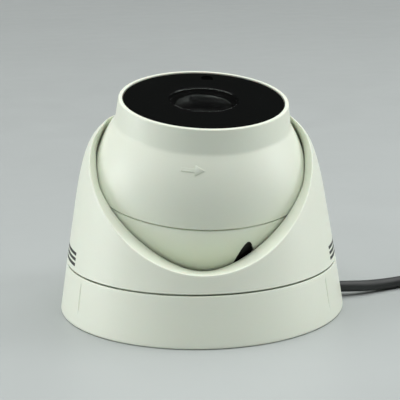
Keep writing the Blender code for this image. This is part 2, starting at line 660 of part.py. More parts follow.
def build_socket():
    x, y = SOCKET_AT
    start_y = y - BOOT_L - GAP
    end_y = start_y - SOCKET_L
    low_z, high_z = 0.15, 0.15 + SOCKET_HT
    boot = bmesh.new()
    profile = [(0.0, 0.0), (3.2, 0.0), (3.6, 1.5), (3.6, 5.0), (4.6, 9.0), (6.2, BOOT_L), (0.0, BOOT_L)]
    turn(boot, profile, 20)
    stand = Matrix.Translation(Vector((x, y, SOCKET_AXIS_Z)) * MM) @ Matrix.Rotation(math.pi / 2, 4, "X")
    bmesh.ops.transform(boot, matrix=stand, verts=boot.verts)
    make_object("socket_boot", boot, "black_rubber")

    half = SOCKET_W / 2
    corner = 1.6
    outline = [(-half + corner, low_z), (half - corner, low_z), (half, low_z + corner),
               (half, high_z - corner), (half - corner, high_z), (-half + corner, high_z),
               (-half, high_z - corner), (-half, low_z + corner)]
    bm = bmesh.new()
    loops = [ring_of(bm, [(x + u, v, w) for u, w in outline]) for v in (start_y, end_y)]
    bridge(bm, *loops)
    bm.faces.new(loops[0])
    bm.faces.new(loops[1])
    body = make_object("network_socket", bm, "black_plastic")
    port = bmesh.new()
    add_box(port, (x - 5.9, end_y - 2.0, 3.2), (x + 5.9, end_y + 13.0, 10.0))
    latch = bmesh.new()
    add_box(latch, (x - 3.1, end_y - 2.0, 9.0), (x + 3.1, end_y + 12.0, 11.8))
    combine(body, [make_object("port_guide", port, None), make_object("latch_guide", latch, None)],
            "DIFFERENCE")
    contacts = box("socket_contacts", (x - 4.5, end_y + 4.0, 3.5), (x + 4.5, end_y + 12.7, 4.4), "gold")
    slits = bmesh.new()
    for k in range(7):
        middle = x + 1.02 * (k - 3.0)
        add_box(slits, (middle - 0.25, end_y + 3.0, 3.0), (middle + 0.25, end_y + 11.0, 5.0))
    combine(contacts, [make_object("slit_guide", slits, None)], "DIFFERENCE")


# ---------------------------------------------------------------- assembly

def main():
    clear_scene()
    build_base()
    pan_axis = add_empty("pan_axis", (0, 0, BASE_H), (0, 0, 0))
    pan_frame = add_empty("pan_frame", (0, 0, -BASE_H), (0, 0, 0), pan_axis)
    build_housing(pan_frame)
    tilt_axis = add_empty("tilt_axis", (0, 0, BALL_Z), (REST_TILT, 0, 0), pan_frame)
    rotate_axis = add_empty("rotate_axis", (0, 0, 0), (0, REST_ROLL, 0), tilt_axis)
    build_glide_ring(rotate_axis)
    build_ball_shells(rotate_axis)
    build_window(rotate_axis)
    build_lens(rotate_axis)
    build_filter(add_empty("filter_axis", (0, 0, 0), (0, 0, 0), rotate_axis))
    build_boards(rotate_axis)
    build_cable()
    build_socket()


main()
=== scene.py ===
"""Looks of the turret camera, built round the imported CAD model.

Sizes are in millimetres unless a name says otherwise, and MM scales them to the frame's metres.
Heights on the ball are measured along the lens axis from the ball's centre.
"""
import json
import math

import bmesh
import bpy
from mathutils import Matrix, Vector


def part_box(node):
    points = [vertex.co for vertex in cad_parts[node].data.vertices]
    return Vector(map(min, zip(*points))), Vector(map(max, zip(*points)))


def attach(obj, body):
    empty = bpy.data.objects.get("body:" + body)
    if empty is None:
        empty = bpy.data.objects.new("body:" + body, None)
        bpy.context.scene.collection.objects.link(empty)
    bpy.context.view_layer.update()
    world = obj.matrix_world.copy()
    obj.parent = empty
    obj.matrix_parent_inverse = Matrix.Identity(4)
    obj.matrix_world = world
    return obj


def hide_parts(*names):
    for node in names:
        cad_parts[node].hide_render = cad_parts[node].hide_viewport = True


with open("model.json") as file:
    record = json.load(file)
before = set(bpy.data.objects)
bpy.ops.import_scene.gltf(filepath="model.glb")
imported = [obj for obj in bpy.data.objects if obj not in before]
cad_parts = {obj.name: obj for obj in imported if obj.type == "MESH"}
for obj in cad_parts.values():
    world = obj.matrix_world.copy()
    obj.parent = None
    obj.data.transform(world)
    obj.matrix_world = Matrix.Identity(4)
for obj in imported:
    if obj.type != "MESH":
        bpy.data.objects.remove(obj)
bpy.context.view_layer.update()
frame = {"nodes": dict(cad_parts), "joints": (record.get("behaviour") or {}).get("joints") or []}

MM = 0.001
JOINTS = {joint["name"]: joint for joint in frame["joints"]}
BALL_AT = Vector(JOINTS["tilt"]["pos_m"]) / MM
LENS_AXIS = Vector(JOINTS["rotate"]["axis"])
SIDE_AXIS = Vector(JOINTS["filter_slide"]["axis"])
UPRIGHT = Matrix.Identity(4)
ON_BALL = Matrix.Translation(BALL_AT) @ Matrix(
    (SIDE_AXIS, LENS_AXIS.cross(SIDE_AXIS), LENS_AXIS)).transposed().to_4x4()

# Mounting base
BASE_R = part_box("mounting_base")[1].y / MM
BASE_TOP_R = 52.27
BASE_H = JOINTS["pan"]["pos_m"][2] / MM
BASE_WALL, FLOOR_T = 2.6, 2.5
CABLE_HOLE_R = 13.0
FIXING_CIRCLE_R = 40.0
SEAT_R0, SEAT_R1 = 24.6, 27.4
GROOVE_AZIMUTHS = (-148.1, -28.9, 91.5)    # sink lines over the ribs inside the wall
GROOVE_DEPTH, GROOVE_HALF_WIDTH = 0.42, 0.28
GROOVE_WINDOW = (2.0, 17.5)        # heights between which the wall may sink in

# Housing
HOUSING_Z0 = BASE_H + 0.33
WALL_SLOPE, WALL = 0.171, 2.5
CUT_Z, CUT_SLOPE = 74.6, 0.952     # slanted opening: z = CUT_Z + CUT_SLOPE * y
CREST_Z = 73.0
REST_PAN = math.radians(2.0)       # the opening is turned a little to +X
LIP_Z, LIP_SIDE_Z = 22.0, 57.7     # funnel's inner edge: in front, and towards the sides
LIP_SIDE_RISE = 4.3                # how much higher it goes right at the sides
LIP_GAP, LIP_T = 0.32, 2.4
FOOT_Z = HOUSING_Z0 + 0.3          # the wall's lower end, raised a little so that the joint reads as a line
FOOT_R, FLANGE_R = 46.4, 43.6      # the inner foot, and the flange at its lower end
STRIPES = ((-205.0, -156.5), (-19.5, 29.0))    # azimuths of the printed stripes, left and right
STRIPE_Z, STRIPE_STEP, STRIPE_HT = 21.2, 2.0, 1.15

# Ball
FRONT_R, REAR_R = 41.3, 41.05
SHELL_T, REAR_T = 2.4, 3.65
SPLIT_H = -1.2
RIM_R, RIM_H = 31.95, 33.73
WINDOW_R, WINDOW_H = 30.45, 33.39
LENS_WINDOW_R = 13.05
POCKET_R, POCKET_AT = 4.25, 36.1
POCKET_AZIMUTHS = (-64.0, 56.0, 176.0)
ARROW_AZIMUTH, ARROW_H = -95.5, 19.8
ARROW_PROUD = 0.26                 # below LIP_GAP, so that it passes the lip
APERTURE_AT = (1.5, 24.5)
COVER_LOW = 32.9                   # underside of the clear disc over the lens

# Cable, its coil and its socket
CABLE_R = 2.2
CABLE_Z = 3.7
OUTLET_AZIMUTH = 5.0
COIL_AT = (116.0, -1.0)
COIL_LOW, COIL_HIGH = CABLE_R + 0.1, 6.11      # heights of the two layers
COIL_START, COIL_END = -104.0, 1068.0           # clockwise angles where the winding begins and ends
SOCKET_AT = (155.5, -15.0)      # where the boot begins; the socket points to -Y
SOCKET_AXIS_Z = 7.0
SOCKET_W, SOCKET_HT, SOCKET_L, BOOT_L = 15.6, 13.6, 32.0, 13.0
GAP = 0.3


# ---------------------------------------------------------------- camera

def build_camera():
    """Looks down on the opening from the front, turned a little about its own axis."""
    data = bpy.data.cameras.new("front_camera")
    data.lens = 113.73
    data.sensor_width = 36.0
    camera = bpy.data.objects.new("front_camera", data)
    camera.location = (0.0, -0.47627, 0.15517)
    camera.rotation_euler = [math.radians(angle) for angle in (76.53, 0.877, -0.1935)]
    bpy.context.scene.collection.objects.link(camera)
    bpy.context.scene.camera = camera


# ---------------------------------------------------------------- small helpers

def smooth_step(value, low, high):
    share = min(max((value - low) / (high - low), 0.0), 1.0)
    return share * share * (3.0 - 2.0 * share)


def polar(radius, degrees):
    angle = math.radians(degrees)
    return (radius * math.cos(angle), radius * math.sin(angle))


def sphere_arc(radius, start, end, count):
    """(radius, height) points on a sphere, by angle in degrees from the lens end of the axis."""
    angles = [math.radians(start + (end - start) * i / (count - 1)) for i in range(count)]
    return [(radius * math.sin(a), radius * math.cos(a)) for a in angles]


def fillet(corners, arc_steps=4, guards=True):
    """Round the corners of a closed outline: (x, y, radius), or (x, y) for one that stays sharp.

    A guard point on each side of an arc keeps its smooth shading off the flats beside it. Outlines
    that are lofted into each other go without, so that their points match.
    """
    points = []
    for i, corner in enumerate(corners):
        if len(corner) == 2:
            points.append(corner)
            continue
        here = Vector(corner[:2])
        back = Vector(corners[i - 1][:2]) - here
        ahead = Vector(corners[(i + 1) % len(corners)][:2]) - here
        half = back.angle(ahead) / 2
        reach = min(corner[2] / math.tan(half), 0.45 * back.length, 0.45 * ahead.length)
        start = here + back.normalized() * reach
        end = here + ahead.normalized() * reach
        guard = 0.04 + 0.2 * reach
        if guards and back.length > 2 * reach + 3 * guard:
            points.append(tuple(start + back.normalized() * guard))
        for step in range(arc_steps + 1):
            t = step / arc_steps
            weights = ((1 - t) ** 2, 2 * t * (1 - t) * math.sin(half), t * t)
            mixed = (start * weights[0] + here * weights[1] + end * weights[2]) / sum(weights)
            points.append(tuple(mixed))
        if guards and ahead.length > 2 * reach + 3 * guard:
            points.append(tuple(end + ahead.normalized() * guard))
    return points


def bridge(bm, ring_a, ring_b):
    for i in range(len(ring_a)):
        j = (i + 1) % len(ring_a)
        bm.faces.new((ring_a[i], ring_a[j], ring_b[j], ring_b[i]))


def add_ring(bm, points, place=UPRIGHT):
    return [bm.verts.new(place @ Vector(p) * MM) for p in points]


def add_loft(bm, rings, place=UPRIGHT):
    """A closed solid through rings of points, with a cap on each end."""
    loops = [add_ring(bm, ring, place) for ring in rings]
    for loop_a, loop_b in zip(loops, loops[1:]):
        bridge(bm, loop_a, loop_b)
    bm.faces.new(loops[0])
    bm.faces.new(loops[-1])


def add_turned(bm, outline, azimuths, place=UPRIGHT, centre=(0.0, 0.0), shape=None):
    """Turn a closed (radius, height) outline round the vertical axis; shape may move its points."""
    rings = []
    for radius, height in outline:
        if radius == 0.0:
            rings.append(add_ring(bm, [(*centre, height)], place))
            continue
        ring = []
        for azimuth in azimuths:
            r = shape(radius, height, azimuth) if shape else radius
            x, y = polar(r, azimuth)
            ring.append((centre[0] + x, centre[1] + y, height))
        rings.append(add_ring(bm, ring, place))
    on_axis = outline[0][0] == 0.0
    pairs = list(zip(rings, rings[1:])) + ([] if on_axis else [(rings[-1], rings[0])])
    for ring_a, ring_b in pairs:
        if len(ring_a) > 1 and len(ring_b) > 1:
            bridge(bm, ring_a, ring_b)
            continue
        tip, ring = (ring_a[0], ring_b) if len(ring_a) == 1 else (ring_b[0], ring_a)
        for i in range(len(ring)):
            bm.faces.new((ring[i], ring[(i + 1) % len(ring)], tip))


def even(count):
    return [360.0 * i / count for i in range(count)]


def to_object(bm, name, sharp=32):
    bmesh.ops.recalc_face_normals(bm, faces=bm.faces)
    mesh = bpy.data.meshes.new(name)
    bm.to_mesh(mesh)
    bm.free()
    mesh.shade_smooth()
    mesh.set_sharp_from_angle(angle=math.radians(sharp))
    obj = bpy.data.objects.new(name, mesh)
    bpy.context.scene.collection.objects.link(obj)
    return obj


def turned(name, outline, steps=128, place=UPRIGHT, centre=(0.0, 0.0), shape=None, azimuths=None, sharp=32):
    bm = bmesh.new()
    add_turned(bm, outline, azimuths or even(steps), place, centre, shape)
    return to_object(bm, name, sharp)


def rods(name, radius, low, high, centres, place=UPRIGHT, steps=40):
    """Round rods that serve as tools for carve()."""
    bm = bmesh.new()
    for centre in centres:
        add_turned(bm, [(0.0, low), (radius, low), (radius, high), (0.0, high)], even(steps), place, centre)
    return to_object(bm, name)


def carve(obj, *steps, sharp=32):
    """Boolean steps of (operation, tool), kept as a plain mesh; the tools are removed."""
    for operation, tool in steps:
        modifier = obj.modifiers.new(tool.name, "BOOLEAN")
        modifier.object = tool
        modifier.operation = operation
        modifier.solver = "EXACT"
    evaluated = obj.evaluated_get(bpy.context.evaluated_depsgraph_get())
    mesh = bpy.data.meshes.new_from_object(evaluated)
    obj.modifiers.clear()
    obj.data = mesh
    mesh.materials.clear()
    mesh.shade_smooth()
    mesh.set_sharp_from_angle(angle=math.radians(sharp))
    for _, tool in steps:
        bpy.data.objects.remove(tool)
    return obj


def place_piece(obj, body, look, slot, *nodes):
    """Dress a finished piece, let it ride on its body and stand for the CAD nodes."""
    obj.data.materials.clear()
    obj.data.materials.append(look)
    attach(obj, body)
    if nodes:
        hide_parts(*nodes)
    return obj


# ---------------------------------------------------------------- materials

class Look:
    """A Principled material whose texture follows the object's own coordinates, in metres."""

    def __init__(self, name, color, roughness, **sockets):
        self.material = bpy.data.materials.new(name)
        self.material.use_nodes = True
        self.tree = self.material.node_tree
        self.shader = self.tree.nodes["Principled BSDF"]
        self.shader.inputs["Base Color"].default_value = (*color, 1.0)
        self.shader.inputs["Roughness"].default_value = roughness
        for socket, value in sockets.items():
            self.shader.inputs[socket.replace("_", " ")].default_value = value
        self.where = self.add("ShaderNodeTexCoord").outputs["Object"]

    def add(self, kind, inputs=(), **settings):
        node = self.tree.nodes.new(kind)
        for name, value in settings.items():
            setattr(node, name, value)
        for socket, value in dict(inputs).items():
            if isinstance(value, bpy.types.NodeSocket):
                self.tree.links.new(value, node.inputs[socket])
            else:
                node.inputs[socket].default_value = value
        return node

    def noise(self, size, detail=3.0, stretch=(1.0, 1.0, 1.0)):
        """Noise with features of about this size in millimetres."""
        where = self.where
        if stretch != (1.0, 1.0, 1.0):
            where = self.add("ShaderNodeMapping", {"Vector": where, "Scale": stretch}).outputs[0]
        return self.add("ShaderNodeTexNoise", {"Vector": where, "Scale": 1.0 / (size * MM),
                                               "Detail": detail}).outputs[0]

    def cells(self, size):
        """Distance from the nearest of many scattered points."""
        return self.add("ShaderNodeTexVoronoi", {"Vector": self.where,
                                                 "Scale": 1.0 / (size * MM)}).outputs["Distance"]

    def spread(self, value, low, high, start=0.3, end=0.7):
        """Stretch the part of a value between start and end to low and high."""
        return self.add("ShaderNodeMapRange", {"Value": value, "From Min": start, "From Max": end,
                                               "To Min": low, "To Max": high}).outputs[0]

    def mix(self, factor, color_a, color_b):
        node = self.add("ShaderNodeMix", {"Factor": factor}, data_type="RGBA")
        for socket, value in ((node.inputs[6], color_a), (node.inputs[7], color_b)):
            if isinstance(value, bpy.types.NodeSocket):
                self.tree.links.new(value, socket)
            else:
                socket.default_value = (*value, 1.0)
        return node.outputs[2]

    def connect(self, socket, value):
        self.tree.links.new(value, self.shader.inputs[socket])

    def bump(self, height, depth, strength=1.0):
        """Relief whose full height is this depth in millimetres."""
        node = self.add("ShaderNodeBump", {"Height": height, "Strength": strength, "Distance": depth * MM})
        self.connect("Normal", node.outputs[0])


def shade(color, factor):
    return tuple(min(1.0, c * factor) for c in color)


def moulded(name, color, roughness, grain=0.35, relief=0.012, variation=0.03, **sockets):
    """Moulded plastic or rubber: spark-eroded grain, slow changes of tone and of gloss."""
    look = Look(name, color, roughness, **sockets)
    tone = look.mix(look.spread(look.noise(28.0), 0.0, 1.0), shade(color, 1 - variation),
                    shade(color, 1 + variation))
    fine = look.mix(look.spread(look.noise(grain * 2.5, 2.0), 0.0, 0.5), tone,
                    shade(color, 1 - 2 * variation))
    look.connect("Base Color", fine)
    look.connect("Roughness", look.spread(look.noise(6.0, 4.0), roughness * 0.9, roughness * 1.12))
    look.bump(look.noise(grain, 3.0), relief)
    return look.material


def glossy_window(name, color):
    """Polished black window: faint smears in the gloss and a few specks of dust."""
    look = Look(name, color, 0.06, IOR=1.47)
    smear = look.spread(look.noise(9.0, 5.0, (1.0, 0.35, 1.0)), 0.03, 0.12)
    look.connect("Roughness", smear)
    dust = look.spread(look.cells(3.1), 1.0, 0.0, 0.018, 0.034)
    look.connect("Base Color", look.mix(dust, color, (0.05, 0.05, 0.048)))
    look.bump(look.noise(22.0, 2.0), 0.004)
    return look.material


def glass(name, color, coat_tint, roughness=0.012):
    look = Look(name, color, roughness, IOR=1.5, Transmission_Weight=1.0, Coat_Weight=0.4,
                Coat_Roughness=0.02, Coat_Tint=(*coat_tint, 1.0))
    look.connect("Roughness", look.spread(look.noise(4.0, 4.0), roughness * 0.5, roughness * 2.0))
    look.connect("Base Color", look.mix(look.spread(look.noise(7.0), 0.0, 1.0), color, shade(color, 0.97)))
    return look.material


def metal(name, color, roughness, stretch=(1.0, 1.0, 0.05)):
    """Machined or rolled metal with fine lines."""
    look = Look(name, color, roughness, Metallic=1.0)
    lines = look.noise(0.25, 4.0, stretch)
    look.connect("Roughness", look.spread(lines, roughness * 0.75, roughness * 1.3))
    look.connect("Base Color", look.mix(look.spread(look.noise(3.0), 0.0, 1.0), color, shade(color, 0.88)))
    look.bump(lines, 0.004)
    return look.material


def circuit_board(name):
    """Green solder mask over a net of copper tracks."""
    mask, over_copper = (0.012, 0.115, 0.042), (0.03, 0.21, 0.075)
    look = Look(name, mask, 0.36, Coat_Weight=0.3, Coat_Roughness=0.2)
    tracks = look.add("ShaderNodeTexBrick", {"Vector": look.where, "Scale": 1.0 / (4.0 * MM),
                                             "Mortar Size": 0.05, "Color1": (0, 0, 0, 1),
                                             "Color2": (0, 0, 0, 1), "Mortar": (1, 1, 1, 1)})
    net = look.spread(tracks.outputs["Color"], 0.0, 1.0, 0.0, 1.0)
    look.connect("Base Color", look.mix(net, look.mix(look.noise(8.0), mask, shade(mask, 0.8)), over_copper))
    look.connect("Roughness", look.spread(look.noise(1.2), 0.3, 0.45))
    look.bump(net, 0.03)
    return look.material


def felt(name):
    color = (0.035, 0.036, 0.035)
    look = Look(name, color, 0.95, Sheen_Weight=0.5, Sheen_Roughness=0.5)
    fibres = look.noise(0.12, 6.0, (1.0, 0.3, 1.0))
    look.connect("Base Color", look.mix(fibres, shade(color, 0.6), shade(color, 1.6)))
    look.connect("Roughness", look.spread(fibres, 0.88, 1.0))
    look.bump(fibres, 0.15)
    return look.material


def build_looks():
    return {
        "white_plastic": moulded("satin_white_plastic", (0.772, 0.820, 0.705), 0.42, 0.3, 0.006, 0.008,
                                 Subsurface_Weight=0.06, Subsurface_Scale=0.002, IOR=1.48),
        # a brighter copy of the same white plastic for the rear shell: painted light that stands in for the
        # bounce light under the ball
        "rear_white_plastic_painted_bounce": moulded("white_plastic_painted_bounce_light", (0.845, 0.893, 0.772), 0.42, 0.3, 0.006, 0.008,
                                      Subsurface_Weight=0.06, Subsurface_Scale=0.002, IOR=1.48),
        "black_window": glossy_window("polished_black_window", (0.0042, 0.0048, 0.0045)),
        "clear_glass": glass("coated_clear_glass", (0.93, 0.94, 0.93), (0.9, 0.95, 0.92)),
        "lens_coating": glossy_window("coated_lens", (0.0118, 0.0122, 0.0118)),
        "filter_glass": glass("red_cut_filter_glass", (0.75, 0.22, 0.26), (0.4, 0.9, 0.8)),
        "black_plastic": moulded("grained_black_plastic", (0.016, 0.017, 0.0165), 0.42, 0.25, 0.012, 0.08),
        "black_rubber": moulded("matt_black_rubber", (0.019, 0.020, 0.019), 0.72, 0.18, 0.02, 0.1),
        "nylon": moulded("natural_nylon", (0.62, 0.61, 0.55), 0.5, 0.5, 0.01, 0.03, Subsurface_Weight=0.1,
                         Subsurface_Scale=0.002),
        "felt": felt("black_felt"),
        "cable_jacket": moulded("cable_jacket_vinyl", (0.024, 0.027, 0.026), 0.5, 0.22, 0.016, 0.06),
        "steel": metal("zinc_plated_steel", (0.60, 0.60, 0.59), 0.3),
        "aluminium": metal("bare_aluminium", (0.74, 0.75, 0.76), 0.36),
        "gold": metal("gold_plated_contacts", (0.83, 0.60, 0.24), 0.2),
        "board": circuit_board("green_circuit_board"),
        "chip": moulded("chip_moulding", (0.022, 0.022, 0.024), 0.5, 0.1, 0.006, 0.1),
        "connector": moulded("cream_connector_plastic", (0.74, 0.71, 0.62), 0.5, 0.3, 0.008, 0.03),
        "hood_rubber": moulded("lens_hood_rubber", (0.0042, 0.0045, 0.0042), 0.75, 0.18, 0.01, 0.1, IOR=1.12),
        "barrel_plastic": moulded("satin_black_barrel", (0.010, 0.0105, 0.010), 0.24, 0.2, 0.002, 0.06),
        "stripe_ink": moulded("grey_black_ink", (0.022, 0.024, 0.023), 0.55, 0.2, 0.004, 0.12),
        # near-black with almost no reflection: the sensor window is real, but its darkness is painted shade
        # of the unlit cavity behind it
        "aperture": moulded("sensor_window_painted_cavity_shade", (0.0004, 0.0004, 0.0004), 0.5, 0.5, 0.002, 0.1, IOR=1.05),
    }


def dress_cad_nodes(looks):
    """Every CAD node that stays gets the look of its own CAD material."""
    for node in frame["nodes"].values():
        for material_slot in node.material_slots:
            material_slot.material = looks[material_slot.material.name.split(".")[0]]


# ---------------------------------------------------------------- cable, coil and socket

def smooth_points(points, per_span=10):
    """Dense points on one smooth curve through the given points."""
    pts = [Vector(p) for p in points]
    pts = [pts[0] * 2 - pts[1], *pts, pts[-1] * 2 - pts[-2]]
    dense = []
    for a, b, c, d in zip(pts, pts[1:], pts[2:], pts[3:]):
        for i in range(per_span):
            t = i / per_span
            dense.append(0.5 * (2 * b + (c - a) * t + (2 * a - 5 * b + 4 * c - d) * t ** 2
                                + (3 * b - a - 3 * c + d) * t ** 3))
    return [*dense, pts[-2]]


def coil_point(angle):
    """The winding: an outer and an inner turn on the table, then one on top of them.

    The angle runs clockwise. The strand leaves the outer turn for the inner one where it meets the
    cable that comes in, and on each later pass of that place it climbs over what lies there.
    """
    outer, inner, middle = 26.2, 21.8, 24.0
    thick = 2 * CABLE_R
    begin, end = 156.0, 251.0
    share = smooth_step(angle % 360.0, begin, end)
    crossing = outer + (inner - outer) * share
    if angle < end:
        return (outer if angle < begin else crossing), COIL_LOW
    if angle < begin + 360:
        return inner, COIL_LOW
    if angle < end + 360:
        climb = math.radians(180.0 - 120.0 * share)
        return crossing + thick * math.cos(climb), COIL_LOW + thick * math.sin(climb)
    if angle < begin + 720:
        return middle, COIL_HIGH
    if angle < end + 720:
        return middle + thick * share, COIL_HIGH + 0.6 * math.sin(math.pi * share)
    leaving = smooth_step(angle, end + 760, COIL_END)
    return middle + thick + 3.1 * leaving, COIL_HIGH - 0.2 * leaving


def cable_route():
    out = Vector(polar(1.0, OUTLET_AZIMUTH))
    exit_run = [(*(out * 44.5), CABLE_Z), (*(out * 50.0), CABLE_Z), (*(out * 56.0), CABLE_Z)]
    lying = [(61.5, 6.0, 3.4), (66.5, 8.0, 2.9), (73.5, 11.4, 2.4), (81.0, 15.0, COIL_LOW),
             (86.5, 17.4, COIL_LOW), (92.0, 19.5, COIL_LOW), (98.0, 21.5, COIL_LOW), (104.0, 23.1, COIL_LOW)]
    coil = []
    steps = round((COIL_END - COIL_START) / 5.0)
    for step in range(steps + 1):
        angle = COIL_START + (COIL_END - COIL_START) * step / steps
        radius, height = coil_point(angle)
        x, y = polar(radius, -angle)
        coil.append((COIL_AT[0] + x, COIL_AT[1] + y, height))
    tail = [(150.0, -0.6, 6.6), (153.6, -6.0, 6.9), (155.1, -10.4, SOCKET_AXIS_Z),
            (SOCKET_AT[0], SOCKET_AT[1] - 1.5, SOCKET_AXIS_Z)]
    return [*exit_run, *lying, *coil, *tail]


def build_cable(looks):
    points = smooth_points(cable_route(), 4)
    curve = bpy.data.curves.new("network_cable", "CURVE")
    curve.dimensions = "3D"
    curve.bevel_depth = CABLE_R * MM
    curve.bevel_resolution = 5
    curve.use_fill_caps = True
    spline = curve.splines.new("POLY")
    spline.points.add(len(points) - 1)
    for target, point in zip(spline.points, points):
        target.co = (*(point * MM), 1.0)
    cable = bpy.data.objects.new("network_cable", curve)
    bpy.context.scene.collection.objects.link(cable)
    place_piece(cable, "base", looks["cable_jacket"], "cable_jacket", "cable", "cable_coil", "cable_tail")
    length = sum((b - a).length for a, b in zip(points, points[1:])) * MM
    return cable, length


def build_tie(looks):
    """A releasable tie: a thin band with rounded corners and its locking head."""
    azimuth = -125.0
    inner, outer = (19.4, 28.6, 0.05, 8.55), (18.5, 29.5, 0.02, 9.5)
    place = Matrix.Translation((*COIL_AT, 0.0)) @ Matrix.Rotation(math.radians(azimuth), 4, "Z")

    def section(box, radius):
        x0, x1, z0, z1 = box
        corners = [(x0, z0, radius * 0.4), (x1, z0, radius * 0.4), (x1, z1, radius), (x0, z1, radius)]
        return fillet(corners, 8, guards=False)

    bm = bmesh.new()
    rings = []
    for box, radius, y in ((outer, 3.4, -2.2), (outer, 3.4, 2.2), (inner, 2.6, 2.2), (inner, 2.6, -2.2)):
        rings.append(add_ring(bm, [(x, y, z) for x, z in section(box, radius)], place))
    for ring_a, ring_b in zip(rings, rings[1:] + rings[:1]):
        bridge(bm, ring_a, ring_b)
    head = fillet([(-3.2, -2.4, 0.8), (3.2, -2.4, 0.8), (3.2, 2.4, 0.8), (-3.2, 2.4, 0.8)], 4)
    add_loft(bm, [[(24.0 + x * k, y * k, z) for x, y in head]
                  for z, k in ((9.2, 1.0), (11.2, 1.0), (11.6, 0.93), (11.8, 0.8))], place)
    tongue = fillet([(-1.9, 0.0, 0.4), (1.9, 0.0, 0.4), (1.9, 0.8, 0.4), (-1.9, 0.8, 0.4)], 3)
    add_loft(bm, [[(x, y, z + drop) for y, z in tongue]
                  for x, drop in ((20.9, 9.45), (17.6, 9.8), (15.2, 9.3), (14.6, 9.1))], place)
    band = to_object(bm, "tie_band")
    return place_piece(band, "base", looks["black_plastic"], "black_plastic", "cable_tie")


def build_boot(looks):
    """Moulded strain relief with grip rings, along -Y from the cable to the socket."""
    outline = [(0.0, 0.0), (2.75, 0.0), (3.15, 0.3)]
    for ring in range(5):
        at = 1.0 + 1.9 * ring
        radius = 3.3 + 0.28 * ring
        outline += [(radius - 0.5, at), (radius - 0.5, at + 0.55), (radius, at + 0.8),
                    (radius + 0.1, at + 1.5), (radius - 0.2, at + 1.8)]
    outline += [(4.6, 10.8), (5.9, 12.2), (6.2, 12.7), (6.1, BOOT_L), (0.0, BOOT_L)]
    stand = Matrix.Translation((*SOCKET_AT, SOCKET_AXIS_Z)) @ Matrix.Rotation(math.pi / 2, 4, "X")
    boot = turned("socket_strain_relief", outline, 48, stand, sharp=50)
    return place_piece(boot, "base", looks["black_rubber"], "black_rubber", "socket_boot")


def box_tool(name, low, high):
    bm = bmesh.new()
    corners = [(low[0], low[1]), (high[0], low[1]), (high[0], high[1]), (low[0], high[1])]
    add_loft(bm, [[(x, y, z) for x, y in corners] for z in (low[2], high[2])])
    return to_object(bm, name)


def build_socket(looks):
    x, y = SOCKET_AT[0], SOCKET_AT[1] - BOOT_L - GAP
    low, high = 0.15, 0.15 + SOCKET_HT
    half, end = SOCKET_W / 2, y - SOCKET_L
    middle_z = 0.5 * (low + high)

    def section(shrink):
        a, b, r = half - shrink, 0.5 * SOCKET_HT - shrink, max(1.6 - shrink * 0.5, 0.6)
        return fillet([(-a, -b, r), (a, -b, r), (a, b, r), (-a, b, r)], 5, guards=False)

    stations = [(0.0, 1.1), (0.25, 0.55), (0.8, 0.12), (1.3, 0.0), (5.0, 0.0)]
    for rib in range(6):
        at = 6.0 + 1.7 * rib
        stations += [(at, 0.0), (at + 0.15, 0.3), (at + 0.75, 0.3), (at + 0.9, 0.0)]
    stations += [(19.0, 0.0), (SOCKET_L - 0.6, 0.0), (SOCKET_L - 0.15, 0.12), (SOCKET_L, 0.4)]
    bm = bmesh.new()
    add_loft(bm, [[(x + u, y - v, middle_z + w) for u, w in section(shrink)] for v, shrink in stations])
    body = to_object(bm, "socket_body", 40)
    port = box_tool("port_tool", (x - 5.9, end - 2.0, 3.2), (x + 5.9, end + 13.0, 10.0))
    latch = box_tool("latch_tool", (x - 3.1, end - 2.0, 9.0), (x + 3.1, end + 12.0, 11.8))
    carve(body, ("DIFFERENCE", port), ("DIFFERENCE", latch), sharp=40)
    place_piece(body, "base", looks["black_plastic"], "black_plastic", "network_socket")

    wires = bmesh.new()
    for wire in range(8):
        centre = x + 1.02 * (wire - 3.5)
        spine = [(end + 12.7, 3.75), (end + 9.5, 3.85), (end + 8.2, 4.6), (end + 6.2, 6.4), (end + 5.2, 6.7),
                 (end + 4.6, 6.3)]
        rings = [[(centre + u, v, w + k) for u, k in ((-0.23, -0.2), (0.23, -0.2), (0.23, 0.2), (-0.23, 0.2))]
                 for v, w in spine]
        add_loft(wires, rings)
    pins = to_object(wires, "socket_pins")
    place_piece(pins, "base", looks["gold"], "gold", "socket_contacts")
    return body, pins


def declare_cord(looks):
    cable, length = build_cable(looks)
    tie = build_tie(looks)
    boot = build_boot(looks)
    body, pins = build_socket(looks)


# ---------------------------------------------------------------- base

def base_radius(z):
    return BASE_R + (BASE_TOP_R - BASE_R) * z / BASE_H


def groove_shape(radius, height, azimuth):
    """Sinks the outer wall a little along the three rib lines, fading towards both ends."""
    if radius < base_radius(height) - 0.01 or not GROOVE_WINDOW[0] < height < GROOVE_WINDOW[1]:
        return radius
    fade = smooth_step(height, 3.6, 8.0) * (1.0 - smooth_step(height, 15.4, 16.6))
    depth = 0.0
    for groove in GROOVE_AZIMUTHS:
        away = math.radians((azimuth - groove + 180.0) % 360.0 - 180.0) * radius
        depth += GROOVE_DEPTH * math.exp(-(away / GROOVE_HALF_WIDTH) ** 2)
    return radius - depth * fade


def arched_block(name, r0, r1, width, z0, z1):
    """A block with an arched top that lies along the cable outlet's direction."""
    half = width / 2
    arch = [(half * math.cos(a), z1 - half * 0.75 + half * 0.75 * math.sin(a))
            for a in (math.pi * i / 24 for i in range(25))]
    outline = [(half, z0), *arch, (-half, z0)]
    spin = Matrix.Rotation(math.radians(OUTLET_AZIMUTH), 4, "Z")
    bm = bmesh.new()
    add_loft(bm, [[(r, u, v) for u, v in outline] for r in (r0, r1)], spin)
    return to_object(bm, name)


